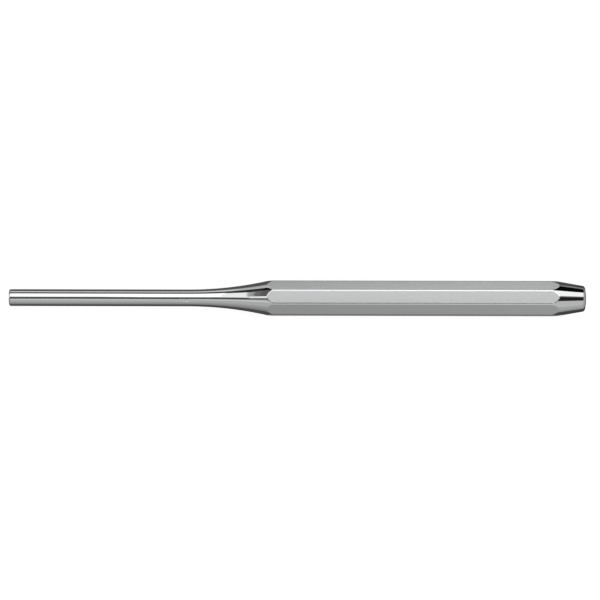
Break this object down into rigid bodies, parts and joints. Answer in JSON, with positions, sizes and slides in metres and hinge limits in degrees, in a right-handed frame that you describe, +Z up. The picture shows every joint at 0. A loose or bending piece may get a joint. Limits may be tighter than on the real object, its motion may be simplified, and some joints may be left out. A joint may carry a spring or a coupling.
{
  "type": "pin punch",
  "caption": "Chromed steel pin punch: octagonal body with tapered, crowned striking head and a long flared root running into a parallel cylindrical pin.",
  "frame": {"origin": "bottom centre of the bounding box, on the surface that the punch lies on, midway between tip and head", "axes": "punch axis along X, with the pin's tip at -X and the struck head at +X; +Z up, away from the flat that it rests on"},
  "size_m": [0.168, 0.01, 0.01],
  "materials": {
    "chromed_steel": "satin drawn flats, polished pin, flare and head"
  },
  "bodies": {
    "root": {"pin_punch": "chromed_steel"}
  },
  "joints": []
}
